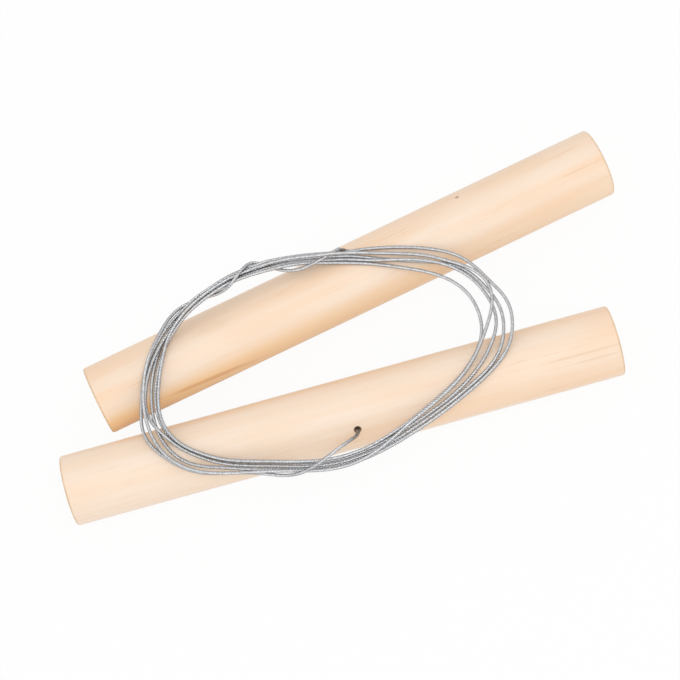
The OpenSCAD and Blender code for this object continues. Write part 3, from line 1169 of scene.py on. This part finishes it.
@dataclass
class Grip:
    """One turned wooden handle with its hole, its stop and the wire inside it, in millimetres."""

    label: str
    body: Body
    at: np.ndarray
    turn: float
    bore: Bore
    marks: tuple
    grain_shift: float
    seed: int
    # how strongly the lower front side gets the painted warm shade
    warm_shade_share: float = 0.0
    pith_depth: float = -13.0 * MM
    wood: TurnedWood = field(default_factory=TurnedWood)
    steel: StrandedSteel = field(default_factory=StrandedSteel)
    alloy: CrimpAlloy = field(default_factory=CrimpAlloy)
    around: int = 96
    bore_d: float = 1.3
    recess_d: float = 2.8
    recess_depth: float = 5.4
    sleeve_d: float = 2.4
    sleeve_length: float = 4.4
    stub: float = 0.4
    waviness: float = 0.008
    jaws: tuple = (-1.1, 0.0, 1.1)
    jaw_width: float = 0.3
    squeeze: float = 0.16

    @property
    def middle(self) -> Vector:
        """The handle's middle in metres."""
        return Vector(self.at * MM)

    @property
    def half_length(self) -> float:
        """Half the handle's length in metres."""
        return HALF_HANDLE * MM

    @property
    def hole_mouth(self) -> Vector:
        """Where the hole meets the surface, seen from the handle's middle and direction, in metres."""
        out = self.bore.middle + HANDLE_R * self.bore.out - self.at
        return Matrix.Rotation(-self.turn, 3, "Z") @ Vector(out * MM)

    def build(self) -> None:
        """Make the handle, its stop and its stretch of wire."""
        self._handle()
        self._sleeve()
        self._wire_end()

    def _profile(self) -> list[tuple[float, float]]:
        """Draw the rod's outline, with a rounded edge at each end.

        Returns:
            Places along the rod and the radii there, in millimetres.
        """
        half = HALF_HANDLE
        edge = []
        for k in range(7):
            turn = math.radians(15 * k)
            place = half - EDGE_LENGTH * (1 - math.sin(turn))
            edge.append((place, HANDLE_R - EDGE_DEPTH * (1 - math.cos(turn))))
        inner = [(half, HANDLE_R - EDGE_DEPTH - drop) for drop in (0.9, 2.6, 4.4)]
        body = [(1.48 * k, HANDLE_R) for k in range(1, 34)]
        side = body + edge + inner
        return [(-x, r) for x, r in reversed(side)] + [(0.0, HANDLE_R)] + side

    def _handle(self) -> None:
        """Turn the rod, drill it, and dress it in wood."""
        shape = bmesh.new()
        draws = np.random.default_rng(self.seed)
        phases = draws.uniform(0, math.tau, 4)
        place = Matrix.Translation(self.middle) @ Matrix.Rotation(self.turn, 4, "Z")
        rings = []
        for x, radius in self._profile():
            ring = []
            for k in range(self.around):
                a = math.tau * k / self.around
                wave = math.sin(x / 9.0 + phases[0])
                wave += math.sin(x / 4.1 + phases[1] + math.sin(a + phases[2]))
                wave += 0.8 * math.sin(2 * a + x / 15 + phases[3])
                r = (radius - self.waviness * (wave + 2.8)) * MM
                point = Vector((x * MM, r * math.cos(a), r * math.sin(a)))
                ring.append(shape.verts.new(place @ point))
            rings.append(ring)
        skin(shape, rings)
        for ring, x in ((rings[0], -HALF_HANDLE), (rings[-1], HALF_HANDLE)):
            hub = shape.verts.new(place @ Vector((x * MM, 0.0, 0.0)))
            for k in range(self.around):
                shape.faces.new((hub, ring[k], ring[(k + 1) % self.around]))
        handle = new_piece(self.label + "_wood", mesh_of(self.label + "_wood", shape))
        cutter = self._cutter()
        cut = handle.modifiers.new("drill", "BOOLEAN")
        cut.operation = "DIFFERENCE"
        cut.solver = "EXACT"
        cut.object = cutter
        drilled = plain_mesh(handle)
        handle.data = drilled
        bpy.data.objects.remove(cutter)
        settle_normals(drilled)
        drilled.materials.clear()
        drilled.materials.append(self.wood.material(self.label + "_wood", self))
        smooth(drilled, 38)
        declare(handle, self.body, "dowel_wood", self.label)

    def _bore_frame(self) -> Matrix:
        """Work out the hole's own frame.

        Returns:
            The frame, with Z out of the mouth and its origin on the handle's middle line.
        """
        out = Vector(self.bore.out)
        side = Vector((math.cos(self.turn), math.sin(self.turn), 0.0))
        rows = Matrix((side, out.cross(side), out)).transposed().to_4x4()
        return Matrix.Translation(Vector(self.bore.middle * MM)) @ rows

    def _lathe(self, name: str, profile: list[tuple[float, float]], around: int) -> bpy.types.Mesh:
        """Turn a closed shape about the hole's axis.

        Args:
            name: The mesh's name.
            profile: Heights along the hole and radii, in millimetres.
            around: The number of sides.

        Returns:
            The mesh, closed by a face at each end where the profile doesn't return to its start.
        """
        place = self._bore_frame()
        shape = bmesh.new()
        closed = profile[0] == profile[-1]
        rings = []
        for height, radius in profile[: -1 if closed else None]:
            ring = []
            for k in range(around):
                a = math.tau * k / around
                point = Vector((radius * math.cos(a), radius * math.sin(a), height)) * MM
                ring.append(shape.verts.new(place @ point))
            rings.append(ring)
        if closed:
            rings.append(rings[0])
        skin(shape, rings)
        if not closed:
            shape.faces.new(rings[0])
            shape.faces.new(rings[-1])
        return mesh_of(name, shape)

    def _cutter(self) -> bpy.types.Object:
        """Make the drill: the bore, a slightly widened mouth and the recess for the stop.

        Returns:
            The drill, which is removed once the handle is cut.
        """
        r, wide = self.bore_d / 2, self.recess_d / 2
        floor = -HANDLE_R + self.recess_depth
        profile = [(-9.0, wide), (floor - 0.1, wide), (floor, wide - 0.1), (floor, r), (5.9, r)]
        profile += [(6.3, r), (6.45, r + 0.03), (9.0, r + 0.03)]
        return new_piece("drill", self._lathe("drill", profile, 48))

    def _sleeve(self) -> None:
        """Press the stop: a short sleeve, squeezed by the jaws of a crimping tool."""
        bottom = -HANDLE_R + self.recess_depth - self.sleeve_length
        top = bottom + self.sleeve_length
        outer, inner = self.sleeve_d / 2, WIRE_R
        profile = [(bottom, inner + 0.06), (bottom, outer - 0.12), (bottom + 0.04, outer - 0.04)]
        profile += [(float(h), outer) for h in np.linspace(bottom + 0.12, top - 0.12, 23)]
        profile += [(top - 0.04, outer - 0.04), (top, outer - 0.12), (top, inner + 0.06)]
        profile += [(top - 0.06, inner), (bottom + 0.06, inner), (bottom, inner + 0.06)]
        mesh = self._lathe(self.label + "_stop", profile, 40)
        ahead = self._bore_frame()
        back = ahead.inverted()
        centre = (bottom + top) / 2
        for vert in mesh.vertices:
            own = back @ vert.co
            reach = math.hypot(own.x, own.y)
            if reach > 0.8 * MM:
                height = own.z / MM - centre
                pressed = sum(math.exp(-(((height - jaw) / self.jaw_width) ** 2)) for jaw in self.jaws)
                own.x *= 1 - self.squeeze * pressed * (abs(own.x) / reach) ** 3
                vert.co = ahead @ own
        settle_normals(mesh)
        mesh.materials.append(self.alloy.material(self.label + "_alloy"))
        smooth(mesh, 40)
        name = self.label.replace("handle", "sleeve")
        sleeve = new_piece(name + "_crimped", mesh)
        declare(sleeve, self.body, "crimp_alloy", name)

    def _wire_end(self) -> None:
        """Make the stretch of wire inside the handle, cut off just past the stop."""
        foot = -HANDLE_R + self.recess_depth - self.sleeve_length - self.stub
        heights = np.linspace(self.bore.mouth_at, foot, 24)
        points = (self.bore.middle + heights[:, None] * self.bore.out) * MM
        name = self.label.replace("handle", "wire_end")
        steel = self.steel.material(self.label + "_steel")
        piece = new_piece(name + "_strands", StrandTube().mesh(name + "_strands", points, steel))
        declare(piece, self.body, "strand_steel", name)


def main() -> None:
    """Make the camera, the wire and the two grips, in that order."""
    logging.basicConfig(level=logging.INFO, format="%(name)s: %(message)s")
    Studio().build()
    CuttingWire().build()
    brown = rgb(150, 96, 58)
    # colour of the painted shade along the upper handle's lower front edge
    crease = rgb(226, 170, 114)
    # colour of the painted shadow of the wire bundle on the upper handle
    bundle_shadow = rgb(242, 212, 176)
    streak = rgb(222, 182, 140)
    lower_marks = (
        Mark(mm(44, -2.4, 5.9), mm(9, 0.3, 2), streak, 0.3),
        Mark(mm(46, -3.6, 5.2), mm(7, 0.3, 2), streak, 0.25),
    )
    upper_marks = (
        Mark(mm(23.4, 3.9, 5), mm(0.55, 0.45, 0.45), brown, 0.7),
        # painted shade along the lower front edge, towards the left end
        Mark(mm(-29.7, -6, 2), mm(12, 2.5, 0.75), crease, 0.65, (0.0, 0.082, 0.0)),
        # painted shadow beside the wire bundle, on the handle's top
        Mark(mm(-25.6, 1.3, 6.2), mm(5.5, 1.3, 3), bundle_shadow, 0.4),
    )
    lower = Grip("lower_handle", Body.LOWER, LOWER_AT, 0.0, LOWER_BORE, lower_marks, 0.0, seed=3)
    lower.build()
    upper = Grip("upper_handle", Body.UPPER, UPPER_AT, SPLAY, UPPER_BORE, upper_marks, 0.021, seed=8)
    # only the upper handle gets painted warm shade on its lower front side
    upper.warm_shade_share = 1.0
    upper.pith_depth = 11.0 * MM
    upper.build()


if __name__ == "__main__":
    main()
